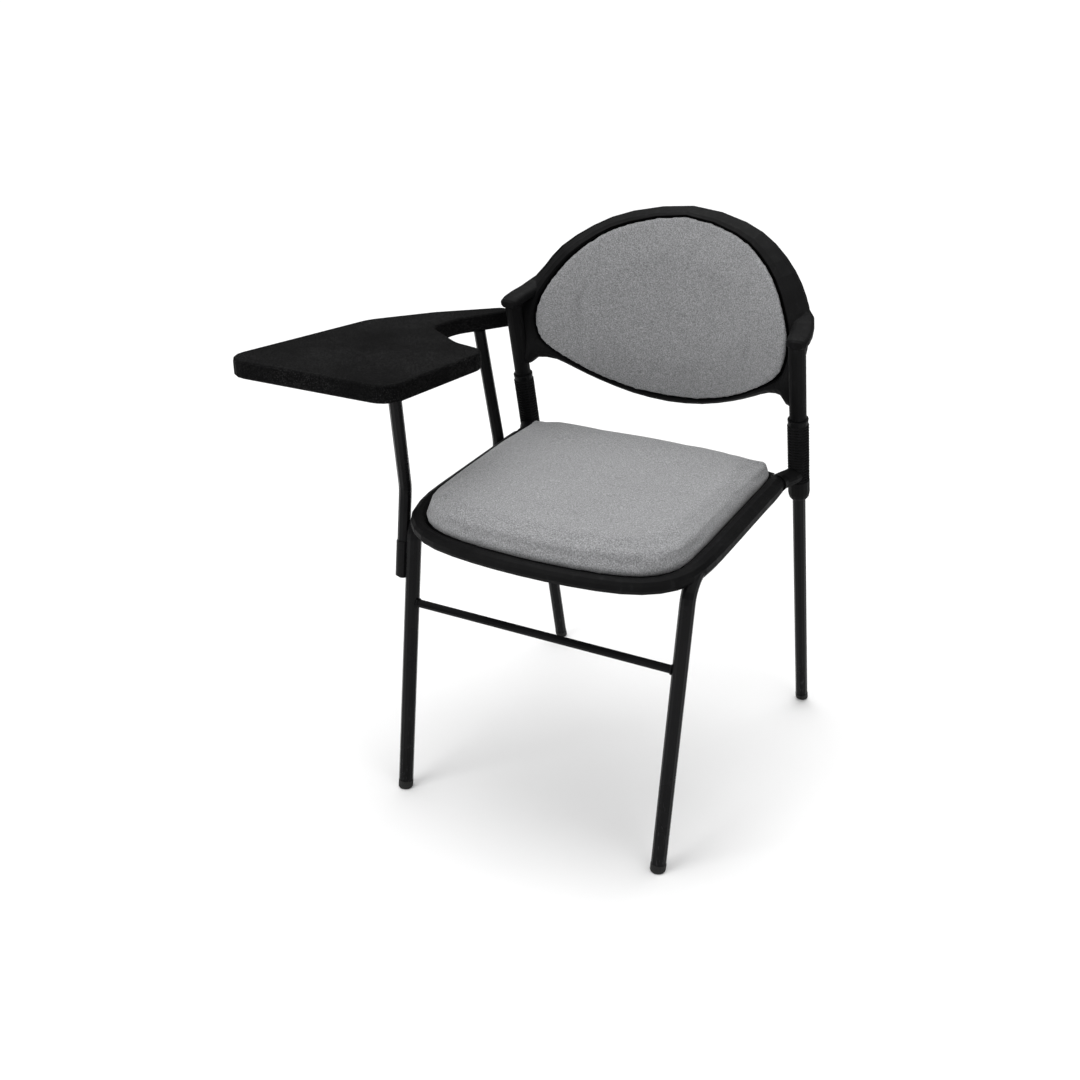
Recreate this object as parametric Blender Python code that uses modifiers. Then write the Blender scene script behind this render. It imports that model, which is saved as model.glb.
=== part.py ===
"""Student desk chair: an upholstered four-legged chair with a fixed writing tablet beside the sitter's right arm.

Metres, +Z up. The sitter faces -Y and the tablet is on the -X side. Every measure below is in the chair's own
frame, whose X = 0 is the chair's plane of symmetry; ORIGIN_SHIFT then puts the scene's origin under the middle
of the whole object's box, at floor level.
"""

import math

import bmesh
import bpy
import numpy as np
from mathutils import Matrix, Vector

ORIGIN_SHIFT = (0.1187, -0.0394, 0.0)
GAP = 0.0003
CURVED_GAP = 0.0010

# Side tubes: each is a front leg and a side rail in one bent tube.
LEG_RADIUS = 0.011
LEG_WALL = 0.0015
FRONT_FOOT = (0.2140, -0.2325)
KNEE = (0.2170, -0.1730)
KNEE_RADIUS = 0.045
RAIL_X = 0.2190
RAIL_END_Y = 0.1710
RAIL_HEIGHT = 0.4455
RAIL_SLOPE = 0.06
FOOT_CAP_HEIGHT = 0.012

# Rear posts: straight tubes from the floor into the back frame.
POST_RADIUS = 0.010
REAR_FOOT = (0.2355, 0.3200)
POST_LEAN = (-0.0027, -0.2604)
POST_TOP = 0.648

# Front crossbar and the rails under the seat.
CROSSBAR_RADIUS = 0.0062
CROSSBAR_HEIGHT = 0.302
SEAT_RAIL_RADIUS = 0.008
SEAT_RAIL_YS = {"seat_rail_front": -0.105, "seat_rail_rear": 0.105}

# Ribbed joint sleeves.
SLEEVE_RADIUS = 0.0165
SLEEVE_GROOVE = 0.0017
SLEEVE_BOTTOM = 0.4150
SLEEVE_TOP = 0.5530
RIB_COUNT = 20
RIB_START = 0.035
RIB_PITCH = 0.0049
NECK_RADIUS = 0.0138
NECK_START_Y = 0.1500

# Seat pan: the middle line of its rolled rim in plan, from the rear to the front, right half.
PAN_PATH = [(0.0, 0.1770), (0.0900, 0.1750), (0.1720, 0.1720), (0.2080, 0.1630), (0.2185, 0.1340), (0.2188, 0.0800),
            (0.2188, 0.0100), (0.2188, -0.0600), (0.2178, -0.1200), (0.2108, -0.1680), (0.1862, -0.2035),
            (0.1425, -0.2258), (0.0750, -0.2370), (0.0, -0.2405)]
RIM_RADIUS = 0.0150
RIM_RADIUS_FRONT = 0.0115
RIM_RADIUS_REAR = 0.0080
RIM_FRONT_DROP = 0.0040
PAN_WALL = 0.0032
RIM_ANGLES = [175, 142, 110, 80, 50, 20, -15, -50]
PLATE_LIFT = 0.0013
BOARD_THICKNESS = 0.0080
BOARD_SHARE = 0.890
POCKET_SHARE = 0.894
SEAT_TOP_SHARE = 0.885
SEAT_SHOULDER = 0.0400
SEAT_REAR_DROP = 0.14
SEAT_CROWN = 0.0028

# Back: the pad's front edge lies on a surface curved about the sitter and leaning back.
BACK_Y = 0.2427
BACK_Z = 0.6045
BACK_LEAN = 0.159
BACK_CURVE = 1.708
FRAME_OUTLINE = [(0.0, 0.5236), (0.0605, 0.5305), (0.1140, 0.5475), (0.1510, 0.5645), (0.1800, 0.5790),
                 (0.2060, 0.5830), (0.2240, 0.5730), (0.2380, 0.6420), (0.2380, 0.6720), (0.2310, 0.6985),
                 (0.2160, 0.7230), (0.1930, 0.7540), (0.1500, 0.7860), (0.0940, 0.8090), (0.0, 0.8220)]
PAD_OUTLINE = [(0.0, 0.5350), (0.0560, 0.5390), (0.1120, 0.5560), (0.1490, 0.5750), (0.1730, 0.5900),
               (0.1900, 0.6035), (0.2025, 0.6185), (0.2100, 0.6450), (0.2085, 0.6680), (0.2040, 0.6835),
               (0.1915, 0.7090), (0.1675, 0.7440), (0.1320, 0.7740), (0.0880, 0.7950), (0.0, 0.8110)]
# How far the middle of the frame's outer edge lies behind the pad's surface, at each corner of the outline.
FRAME_SETBACK = [0.010, 0.010, 0.011, 0.012, 0.013, 0.014, 0.016, 0.018, 0.024, 0.036, 0.040, 0.033, 0.028, 0.022,
                 0.022]
FRAME_EDGE = 0.0050
# Short arm tips: the middle line of each, from inside the frame's rim to its front end, left side.
ARM_LINE = [(0.2030, 0.2190, 0.7150), (0.2130, 0.2110, 0.7020), (0.2215, 0.2010, 0.6935), (0.2280, 0.1830, 0.6870),
            (0.2330, 0.1630, 0.6825), (0.2350, 0.1460, 0.6785), (0.2355, 0.1350, 0.6755), (0.2355, 0.1310, 0.6745)]
ARM_SHARES = [0.55, 0.85, 1.0, 1.0, 1.0, 1.0, 0.90, 0.62]
ARM_HALF_WIDTH = 0.0165
ARM_HALF_THICKNESS = 0.0082
SOCKET_RADIUS = 0.0127
SOCKET_TOP = 0.6720
BACK_FLOOR = 0.0090
BACK_SHELL = 0.0040
BACK_BOARD = 0.0050
PANEL_SHARES = (0.15, 0.50, 0.77, 0.95)

# Writing tablet: corners in plan, each with its rounding.
TABLET_TOP = 0.6510
TABLET_THICKNESS = 0.0270
TABLET_EDGE = 0.0045
TABLET_CORNERS = [((-0.2010, -0.2475), 0.034), ((-0.1765, -0.0270), 0.030), ((-0.2400, -0.0120), 0.060),
                  ((-0.3160, 0.0400), 0.020), ((-0.3090, 0.1000), 0.060), ((-0.2540, 0.1960), 0.010),
                  ((-0.2860, 0.1960), 0.014), ((-0.3650, 0.1200), 0.100), ((-0.4330, 0.0300), 0.080),
                  ((-0.4620, -0.0950), 0.200), ((-0.4980, -0.2475), 0.034)]
TABLET_POST_RADIUS = 0.0095
TABLET_POST_WALL = 0.0012
PLATE_THICKNESS = 0.0030
POCKET_GAP = 0.0005
POST_TRIM = 0.0080
REAR_POST_FOOT = (-0.2440, 0.1120)
BRACKET_DROP = -0.0240
BRACKET_LENGTH = 0.0320
# Each plate's middle, length, width and turn, and where its screws lie along and across it.
TABLET_PLATES = {
    "front": ((-0.2430, -0.2030), 0.074, 0.050, 0.0,
              [(-0.029, -0.017), (-0.029, 0.017), (0.003, -0.017), (0.003, 0.017)]),
    "rear": ((-0.3100, 0.1357), 0.066, 0.024, 60.0, [(-0.027, 0.0), (-0.012, 0.0), (0.0275, 0.003)])}
FRONT_POST_HEAD = (-0.2160, -0.2130)
REAR_POST_HEAD = (-0.2971, 0.1434)
SOCKET_OFFSET = (-0.0215, 0.0050)
SOCKET_OUTER = 0.0108
SOCKET_HEIGHTS = (0.3370, 0.3900)

BLACK_STEEL = ((0.020, 0.020, 0.022), 0.38, 0.1)
BLACK_PLASTIC = ((0.024, 0.024, 0.025), 0.50, 0.0)
BLACK_RUBBER = ((0.018, 0.018, 0.018), 0.80, 0.0)
TABLET_BLACK = ((0.022, 0.022, 0.023), 0.62, 0.0)
GREY_FABRIC = ((0.330, 0.330, 0.335), 0.95, 0.0)
PLYWOOD = ((0.520, 0.380, 0.230), 0.70, 0.0)
ZINC = ((0.520, 0.520, 0.530), 0.35, 0.9)


def clear_scene():
    for obj in list(bpy.data.objects):
        bpy.data.objects.remove(obj, do_unlink=True)


def new_collection(name):
    collection = bpy.data.collections.new(name)
    bpy.context.scene.collection.children.link(collection)
    return collection


def material(name, look):
    colour, roughness, metallic = look
    made = bpy.data.materials.new(name)
    made.use_nodes = True
    shader = made.node_tree.nodes["Principled BSDF"]
    shader.inputs["Base Color"].default_value = (*colour, 1.0)
    shader.inputs["Roughness"].default_value = roughness
    shader.inputs["Metallic"].default_value = metallic
    return made


def add_object(name, mesh, look):
    """A part of the chair, in the chair's frame, with its own material."""
    obj = bpy.data.objects.new(name, mesh)
    PARTS.objects.link(obj)
    obj.parent = CHAIR
    if look:
        mesh.materials.clear()
        mesh.materials.append(material(name, look))
    mesh.shade_smooth()
    mesh.set_sharp_from_angle(angle=math.radians(40))
    return obj


def make_cutter(obj):
    """Turns an object into a helper that is never rendered."""
    PARTS.objects.unlink(obj)
    CUTTERS.objects.link(obj)
    obj.hide_render = True
    obj.display_type = "WIRE"
    return obj


def boolean(target, other, operation):
    modifier = target.modifiers.new(operation.lower() + "_" + other.name, "BOOLEAN")
    modifier.object = other
    modifier.operation = operation


def mesh_from(name, build):
    """A mesh filled by build(bm), with its faces turned outward."""
    bm = bmesh.new()
    build(bm)
    bmesh.ops.recalc_face_normals(bm, faces=bm.faces)
    if bm.calc_volume(signed=True) < 0:
        bmesh.ops.reverse_faces(bm, faces=bm.faces)
    mesh = bpy.data.meshes.new(name)
    bm.to_mesh(mesh)
    bm.free()
    return mesh


def along(start, end):
    """The matrix that puts +Z along start to end, with its origin halfway."""
    start, end = Vector(start), Vector(end)
    turn = (end - start).to_track_quat("Z", "Y").to_matrix().to_4x4()
    return Matrix.Translation((start + end) / 2) @ turn


def cylinder(name, start, end, radius, look, sides=20):
    length = (Vector(end) - Vector(start)).length

    def build(bm):
        bmesh.ops.create_cone(bm, cap_ends=True, segments=sides, radius1=radius, radius2=radius, depth=length)

    obj = add_object(name, mesh_from(name, build), look)
    obj.matrix_local = along(start, end)
    return obj


def block(name, centre, size, look, bevel=0.0):
    def build(bm):
        bmesh.ops.create_cube(bm, size=1.0)
        bmesh.ops.scale(bm, vec=size, verts=bm.verts)

    obj = add_object(name, mesh_from(name, build), look)
    obj.location = centre
    if bevel:
        rounding = obj.modifiers.new("rounding", "BEVEL")
        rounding.width = bevel
        rounding.segments = 2
    return obj


def slab(name, outline, thickness, look):
    """A flat outline in the XY plane raised to this thickness."""
    def build(bm):
        face = bm.faces.new([bm.verts.new((x, y, 0)) for x, y in outline])
        raised = bmesh.ops.extrude_face_region(bm, geom=[face])
        moved = [item for item in raised["geom"] if isinstance(item, bmesh.types.BMVert)]
        bmesh.ops.translate(bm, vec=(0, 0, thickness), verts=moved)

    return add_object(name, mesh_from(name, build), look)


def turned(name, base, direction, profile, look, sides=16):
    """A solid turned about direction from base; profile runs down its outer side as (radius, height)."""
    mesh = bpy.data.meshes.new(name)
    mesh.from_pydata([(radius, 0.0, height) for radius, height in profile],
                     [(i, i + 1) for i in range(len(profile) - 1)], [])
    obj = add_object(name, mesh, look)
    screw = obj.modifiers.new("turning", "SCREW")
    screw.steps = sides
    screw.render_steps = sides
    screw.use_merge_vertices = True
    screw.merge_threshold = 0.00005
    obj.matrix_local = Matrix.Translation(base) @ Vector(direction).to_track_quat("Z", "Y").to_matrix().to_4x4()
    return obj


def rounded_path(corners, steps=6):
    """Points along straight runs joined by arcs; corners are (point, radius)."""
    points = [Vector(corners[0][0])]
    for (before, _), (corner, radius), (after, _) in zip(corners, corners[1:], corners[2:]):
        points += corner_arc(Vector(before), Vector(corner), Vector(after), radius, steps)
    points.append(Vector(corners[-1][0]))
    return points


def corner_arc(before, corner, after, radius, steps):
    """Points of the arc of this radius that rounds a corner."""
    toward, onward = (before - corner).normalized(), (after - corner).normalized()
    half = toward.angle(onward) / 2
    middle = corner + (toward + onward).normalized() * radius / math.sin(half)
    first = corner + toward * radius / math.tan(half) - middle
    last = corner + onward * radius / math.tan(half) - middle
    sweep = math.pi - 2 * half
    share = [i / steps for i in range(steps + 1)]
    return [middle + (first * math.sin((1 - s) * sweep) + last * math.sin(s * sweep)) / math.sin(sweep) for s in share]


def tube(name, points, radius, look, wall=0.0, resolution=3):
    """A tube along the points: hollow with this wall, or solid if it is 0."""
    curve = bpy.data.curves.new(name, "CURVE")
    curve.dimensions = "3D"
    curve.bevel_depth = radius
    curve.bevel_resolution = resolution
    curve.use_fill_caps = not wall
    spline = curve.splines.new("POLY")
    spline.points.add(len(points) - 1)
    for place, point in zip(spline.points, points):
        place.co = (*point, 1.0)
    guide = bpy.data.objects.new(name + "_path", curve)
    bpy.context.scene.collection.objects.link(guide)
    graph = bpy.context.evaluated_depsgraph_get()
    mesh = bpy.data.meshes.new_from_object(guide.evaluated_get(graph))
    bpy.data.objects.remove(guide, do_unlink=True)
    bm = bmesh.new()
    bm.from_mesh(mesh)
    bmesh.ops.remove_doubles(bm, verts=bm.verts, dist=0.00001)
    bmesh.ops.recalc_face_normals(bm, faces=bm.faces)
    bm.to_mesh(mesh)
    bm.free()
    mesh.name = name
    obj = add_object(name, mesh, look)
    if wall:
        shell = obj.modifiers.new("wall", "SOLIDIFY")
        shell.thickness = wall
        shell.offset = -1.0
    return obj


def smooth_loop(points, per_span):
    """A closed Catmull-Rom curve through the points."""
    points = np.array(points, float)
    count = len(points)
    steps = np.arange(per_span) / per_span
    loop = []
    for i in range(count):
        a, b, c, d = (points[(i + k) % count] for k in (-1, 0, 1, 2))
        for s in steps:
            loop.append(0.5 * (2 * b + (c - a) * s + (2 * a - 5 * b + 4 * c - d) * s**2
                               + (3 * b - a - 3 * c + d) * s**3))
    return np.array(loop)


def whole_loop(half, per_span=2):
    """The closed curve whose right half is given, mirrored to the left; other values keep their sign."""
    left = [(-row[0], *row[1:]) for row in half[-2:0:-1]]
    return smooth_loop(list(half) + left, per_span)


def loft(name, rings, look, close_first=True, close_last=True):
    """A skin over closed rings of equal length, with a flat cap on each end that is closed."""
    count = len(rings[0])

    def build(bm):
        rows = [[bm.verts.new(point) for point in ring] for ring in rings]
        for row, following in zip(rows, rows[1:]):
            for i in range(count):
                j = (i + 1) % count
                bm.faces.new((row[i], row[j], following[j], following[i]))
        if close_first:
            bm.faces.new(rows[0])
        if close_last:
            bm.faces.new(rows[-1])

    return add_object(name, mesh_from(name, build), look)


def outward_normals(path):
    """Unit normals in the plane of a closed path, pointing away from its inside."""
    ahead = np.roll(path, -1, axis=0) - np.roll(path, 1, axis=0)
    normals = np.stack([ahead[:, 1], -ahead[:, 0]], axis=1)
    normals /= np.linalg.norm(normals, axis=1)[:, None]
    return normals * np.sign((normals * (path - path.mean(axis=0))).sum())


def rail_height(y):
    return RAIL_HEIGHT + RAIL_SLOPE * y


def post_point(side, z):
    """The place on a rear post's axis at height z."""
    return Vector((side * (REAR_FOOT[0] + POST_LEAN[0] * z), REAR_FOOT[1] + POST_LEAN[1] * z, z))


def leg_point(side, z):
    """The place on a front leg's axis at height z."""
    share = z / rail_height(KNEE[1])
    return Vector((side * (FRONT_FOOT[0] + (KNEE[0] - FRONT_FOOT[0]) * share),
                   FRONT_FOOT[1] + (KNEE[1] - FRONT_FOOT[1]) * share, z))


def side_path(side):
    """The bent line of a front leg and its side rail."""
    foot = leg_point(side, FOOT_CAP_HEIGHT + GAP)
    knee = Vector((side * KNEE[0], KNEE[1], rail_height(KNEE[1])))
    end = Vector((side * RAIL_X, RAIL_END_Y, rail_height(RAIL_END_Y)))
    return rounded_path([(foot, 0), (knee, KNEE_RADIUS), (end, 0)], steps=8)


def foot_cap(name, top, direction, radius):
    """A plastic cap at the foot of a tube, flat on the floor with a rounded edge."""
    low = Vector(top) - Vector(direction) * (top[2] / direction[2])
    rounding = 0.003
    floor_ring = circle(low, (0, 0, 1), radius - rounding)
    rounded_ring = circle(low + Vector((0, 0, rounding * 0.3)), (0, 0, 1), radius - rounding * 0.3)
    side_ring = circle(low + Vector((0, 0, rounding)), (0, 0, 1), radius)
    top_ring = circle(top, direction, radius)
    return loft(name, [floor_ring, rounded_ring, side_ring, top_ring], BLACK_RUBBER)


def circle(centre, direction, radius, sides=16):
    """Points round a centre in the plane square to direction, starting near +X."""
    direction = Vector(direction).normalized()
    first = (Vector((1, 0, 0)) - direction * direction.x).normalized()
    second = direction.cross(first)
    angles = [2 * math.pi * i / sides for i in range(sides)]
    return [Vector(centre) + (first * math.cos(a) + second * math.sin(a)) * radius for a in angles]


def make_frame():
    for side, word in SIDES:
        tube("side_tube_" + word, side_path(side), LEG_RADIUS, BLACK_STEEL, LEG_WALL, resolution=4)
        leg_way = (leg_point(side, 0.3) - leg_point(side, 0.0)).normalized()
        foot_cap("foot_cap_front_" + word, leg_point(side, FOOT_CAP_HEIGHT), leg_way, LEG_RADIUS + 0.0004)
        post_way = (post_point(side, 0.3) - post_point(side, 0.0)).normalized()
        tube("rear_post_" + word, [post_point(side, FOOT_CAP_HEIGHT + GAP), post_point(side, POST_TOP)],
             POST_RADIUS, BLACK_STEEL, LEG_WALL, resolution=4)
        foot_cap("foot_cap_rear_" + word, post_point(side, FOOT_CAP_HEIGHT), post_way, POST_RADIUS + 0.0004)
    reach = leg_point(1, CROSSBAR_HEIGHT)
    end_x = reach.x - LEG_RADIUS - GAP
    tube("front_crossbar", [(-end_x, reach.y, reach.z), (end_x, reach.y, reach.z)],
         CROSSBAR_RADIUS, BLACK_STEEL, LEG_WALL)
    for name, y in SEAT_RAIL_YS.items():
        z = seat_rail_height(y)
        end_x = KNEE[0] - LEG_RADIUS - 2 * GAP
        tube(name, [(-end_x, y, z), (end_x, y, z)], SEAT_RAIL_RADIUS, BLACK_STEEL, LEG_WALL)


def seat_rail_height(y):
    """The height of the middle of a rail that carries the pan's plate."""
    return rail_height(y) + PLATE_LIFT - PAN_WALL - SEAT_RAIL_RADIUS - 2 * GAP


def sleeve_profile():
    """The ribbed barrel's outer side, from its top to its bottom, as (radius, height)."""
    length = (post_point(1, SLEEVE_TOP) - post_point(1, SLEEVE_BOTTOM)).length
    collar = SLEEVE_RADIUS - 0.0008
    rows = [(0.0, length), (collar - 0.001, length), (collar, length - 0.001)]
    for rib in range(RIB_COUNT, 0, -1):
        height = RIB_START + rib * RIB_PITCH
        rows += [(SLEEVE_RADIUS - SLEEVE_GROOVE, height), (SLEEVE_RADIUS, height - RIB_PITCH * 0.5)]
    rows += [(SLEEVE_RADIUS - SLEEVE_GROOVE, RIB_START), (SLEEVE_RADIUS, RIB_START - 0.002),
             (SLEEVE_RADIUS, 0.010), (SLEEVE_RADIUS - 0.0008, 0.005), (SLEEVE_RADIUS - 0.0024, 0.0016),
             (SLEEVE_RADIUS - 0.0045, 0.0), (0.0, 0.0)]
    return rows


def make_sleeve(side, word):
    """A moulded tee: a ribbed barrel round the rear post, with a neck that takes the side rail's end."""
    base = post_point(side, SLEEVE_BOTTOM)
    way = (post_point(side, SLEEVE_TOP) - base).normalized()
    sleeve = turned("joint_sleeve_" + word, base, way, sleeve_profile(), BLACK_PLASTIC)
    rail = Vector((side * RAIL_X, NECK_START_Y, rail_height(NECK_START_Y)))
    post = post_point(side, rail_height(0.2) + 0.001)
    rings = [circle(rail, (0, 1, 0), NECK_RADIUS),
             circle(rail + Vector((0, 0.012, 0)), (0, 1, 0), NECK_RADIUS),
             circle(rail.lerp(post, 0.62), post - rail, NECK_RADIUS * 0.96),
             circle(post, post - rail, NECK_RADIUS)]
    neck = make_cutter(loft("neck_" + word, rings, None))
    boolean(sleeve, neck, "UNION")
    post_bore = cylinder("post_bore_" + word, post_point(side, SLEEVE_BOTTOM - 0.02),
                         post_point(side, SLEEVE_TOP + 0.02), POST_RADIUS + GAP, None)
    rail_bore = cylinder("rail_bore_" + word, (side * RAIL_X, NECK_START_Y - 0.01, rail.z - RAIL_SLOPE * 0.01),
                         (side * RAIL_X, RAIL_END_Y + GAP, rail_height(RAIL_END_Y)), LEG_RADIUS + GAP, None)
    for bore in (post_bore, rail_bore):
        boolean(sleeve, make_cutter(bore), "DIFFERENCE")
    return sleeve


def rim_measures(path):
    """For each place on the rim's middle line: its radius and the height of its middle."""
    y = path[:, 1]
    ahead = np.clip((-0.130 - y) / 0.080, 0, 1)
    behind = np.clip((y - 0.140) / 0.030, 0, 1)
    radius = RIM_RADIUS + (RIM_RADIUS_FRONT - RIM_RADIUS) * ahead + (RIM_RADIUS_REAR - RIM_RADIUS) * behind
    return radius, rail_height(y) - RIM_FRONT_DROP * ahead


def plan_rings(path, insets_and_lifts):
    """Rings inside a closed plan outline: each is drawn in by an inset in metres and lifted off the rail plane."""
    normals = outward_normals(path)
    rings = []
    for inset, lift in insets_and_lifts:
        ring = path - normals * inset
        rings.append(np.column_stack([ring, rail_height(ring[:, 1]) + lift]))
    return rings


def shrunk(ring, share, lift=0.0):
    """A ring drawn towards its middle by a share of its size."""
    middle = ring.mean(axis=0)
    drawn = middle + (ring - middle) * np.array([share, share, 1.0])
    drawn[:, 2] = rail_height(drawn[:, 1]) + (ring[:, 2] - rail_height(ring[:, 1])) + lift
    return drawn


def make_pan():
    """The moulded seat pan: a plate with a rolled rim whose underside channel covers the side tubes."""
    path = whole_loop(PAN_PATH)
    normals = outward_normals(path)
    radius, middle = rim_measures(path)
    rings = []
    for degrees in RIM_ANGLES:
        angle = math.radians(degrees)
        plan = path + normals * (radius * math.cos(angle))[:, None]
        rings.append(np.column_stack([plan, middle + radius * math.sin(angle)]))
    plate_edge = np.column_stack([path - normals * (radius + 0.004)[:, None], middle * 0])
    plate_edge[:, 2] = rail_height(plate_edge[:, 1]) + PLATE_LIFT
    plate = [shrunk(plate_edge, share) for share in (0.15, 0.6)] + [plate_edge]
    pan = loft("seat_pan", plate + rings, BLACK_PLASTIC, close_last=False)
    wall = pan.modifiers.new("wall", "SOLIDIFY")
    wall.thickness = PAN_WALL
    wall.offset = -1.0
    for side, word in SIDES:
        groove = tube("tube_groove_" + word, side_path(side), LEG_RADIUS + 2 * GAP, None)
        neck_room = cylinder("neck_room_" + word, (side * RAIL_X, NECK_START_Y - GAP, rail_height(NECK_START_Y)),
                             (side * RAIL_X, 0.260, rail_height(NECK_START_Y)), NECK_RADIUS + 3 * GAP, None)
        for cutter in (groove, neck_room):
            boolean(pan, make_cutter(cutter), "DIFFERENCE")
    return pan


def lowered_behind(ring):
    """A ring of the seat pad made lower towards the rear, where the pad is thinner."""
    lowered = ring.copy()
    height = ring[:, 2] - rail_height(ring[:, 1])
    behind = np.clip((ring[:, 1] - 0.050) / 0.110, 0, 1)
    lowered[:, 2] -= height * SEAT_REAR_DROP * behind
    return lowered


def make_seat_cushion():
    """The seat's board, and the foam pad that wraps over it."""
    path = whole_loop(PAN_PATH)
    radius, _ = rim_measures(path)
    edge = path - outward_normals(path) * (radius * 0.80 + 0.0012)[:, None]
    base = PLATE_LIFT + 2 * GAP
    floor = plan_rings(edge, [(0.0, base)])[0]
    board = [(0.3, 0.0), (BOARD_SHARE, 0.0), (BOARD_SHARE, BOARD_THICKNESS), (0.3, BOARD_THICKNESS)]
    loft("seat_board", [shrunk(floor, share, lift) for share, lift in board], PLYWOOD)
    pocket_top = BOARD_THICKNESS + GAP
    pocket = [(0.3, pocket_top), (POCKET_SHARE, pocket_top), (POCKET_SHARE, 0.0)]
    foot = plan_rings(edge, [(0.0060, base), (0.0014, base + 0.0015), (0.0, base + 0.0080)])
    sides = plan_rings(edge, [(-0.0008, base + 0.0170), (-0.0018, base + 0.0260), (0.0002, base + 0.0330),
                              (0.0060, base + 0.0375)])
    crown = [(1.0, 0.0), (0.65, SEAT_CROWN * 0.65), (0.2, SEAT_CROWN)]
    top = [shrunk(floor, SEAT_TOP_SHARE * share, SEAT_SHOULDER + rise) for share, rise in crown]
    upper = [lowered_behind(ring) for ring in sides + top]
    loft("seat_pad", [shrunk(floor, share, lift) for share, lift in pocket] + foot + upper, GREY_FABRIC)


def back_surface(x, z):
    return BACK_Y + BACK_LEAN * (z - BACK_Z) - BACK_CURVE * x**2


def back_ring(outline, offset):
    """A ring on the back's curved surface, moved to the rear by offset."""
    return np.column_stack([outline[:, 0], back_surface(outline[:, 0], outline[:, 1]) + offset, outline[:, 1]])


def drawn_in(outline, share):
    """An outline in the XZ plane drawn towards the pad's middle."""
    middle = np.array([0.0, 0.668])
    return middle + (outline - middle) * share


def panel_rings(outline, offset):
    """Rings from the middle of the back outward, close enough together to follow its curve."""
    return [back_ring(drawn_in(outline, share), offset) for share in PANEL_SHARES]


def back_outlines():
    """The frame's outer edge, the pad's edge, and how far back the outer edge is set, place by place."""
    outer = whole_loop([(*point, setback) for point, setback in zip(FRAME_OUTLINE, FRAME_SETBACK)])
    return outer[:, :2], whole_loop(PAD_OUTLINE), outer[:, 2]


def make_back_frame():
    """The moulded back: a recessed panel in a rim that sweeps back, with two short arm tips and two sockets."""
    outer, inner, setback = back_outlines()
    across = outer - inner
    shell_rear = BACK_FLOOR + BACK_SHELL
    rings = panel_rings(inner, BACK_FLOOR)
    rings += [back_ring(inner + across * 0.06, BACK_FLOOR),
              back_ring(inner + across * 0.08, 0.0010),
              back_ring(inner + across * 0.20, -0.0025),
              back_ring(inner + across * 0.50, (setback - 0.010) * 0.40 - 0.0025),
              back_ring(inner + across * 0.86, setback - FRAME_EDGE * 1.7),
              back_ring(outer, setback - FRAME_EDGE * 0.8),
              back_ring(outer, setback + FRAME_EDGE * 0.8),
              back_ring(inner + across * 0.88, setback + FRAME_EDGE * 1.4),
              back_ring(inner + across * 0.60, np.maximum(setback * 0.80 + 0.0050, shell_rear + 0.0010)),
              back_ring(inner + across * 0.10, shell_rear)]
    rings += panel_rings(inner, shell_rear)[::-1]
    frame = loft("back_frame", rings, BLACK_PLASTIC)
    for side, word in SIDES:
        socket = cylinder("socket_" + word, post_point(side, SLEEVE_TOP + GAP), post_point(side, SOCKET_TOP),
                          SOCKET_RADIUS, None)
        bore = cylinder("socket_bore_" + word, post_point(side, SLEEVE_TOP - 0.02),
                        post_point(side, POST_TOP + GAP), POST_RADIUS + GAP, None)
        boolean(frame, make_cutter(make_arm(side, word)), "UNION")
        boolean(frame, make_cutter(socket), "UNION")
        boolean(frame, make_cutter(bore), "DIFFERENCE")
    return frame


def make_arm(side, word):
    """A short arm tip: a rounded blade that runs forward from the frame's rim over the top of the rear post."""
    line = [Vector((side * x, y, z)) for x, y, z in ARM_LINE]
    rings = []
    for i, (middle, share) in enumerate(zip(line, ARM_SHARES)):
        way = (line[min(i + 1, len(line) - 1)] - line[max(i - 1, 0)]).normalized()
        across = (Vector((1, 0, 0)) - way * way.x).normalized()
        upward = across.cross(way)
        rings.append([middle + across * x * share + upward * z * share for x, z in blade_section()])
    return loft("arm_" + word, rings, None)


def blade_section(sides=20):
    """A rounded oblong, as wide and as thick as an arm tip."""
    section = []
    for i in range(sides):
        angle = 2 * math.pi * i / sides
        x, z = math.cos(angle), math.sin(angle)
        section.append((ARM_HALF_WIDTH * math.copysign(abs(x) ** 0.55, x),
                        ARM_HALF_THICKNESS * math.copysign(abs(z) ** 0.75, z)))
    return section


def make_back_cushion():
    inner = whole_loop(PAD_OUTLINE)
    rear = BACK_FLOOR - CURVED_GAP
    front = rear - BACK_BOARD
    loft("back_board", panel_rings(inner, rear) + panel_rings(inner, front)[::-1], PLYWOOD)
    rear = front - CURVED_GAP
    rounding = [(0.985, -0.0010), (0.996, -0.0040), (0.990, -0.0085), (0.955, -0.0125), (0.880, -0.0152),
                (0.700, -0.0170), (0.420, -0.0185), (0.120, -0.0190)]
    rows = [back_ring(drawn_in(inner, share), rear + lift) for share, lift in rounding]
    loft("back_pad", panel_rings(inner, rear) + rows, GREY_FABRIC)


def tablet_outline():
    corners = TABLET_CORNERS
    points = []
    for i, (corner, radius) in enumerate(corners):
        before, after = corners[i - 1][0], corners[(i + 1) % len(corners)][0]
        points += corner_arc(Vector(before), Vector(corner), Vector(after), radius, 5)
    return points


def turned_block(name, middle, size, degrees, look, bevel=0.0):
    """A block turned about the vertical."""
    obj = block(name, middle, size, look, bevel)
    obj.rotation_euler = (0, 0, math.radians(degrees))
    return obj


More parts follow.
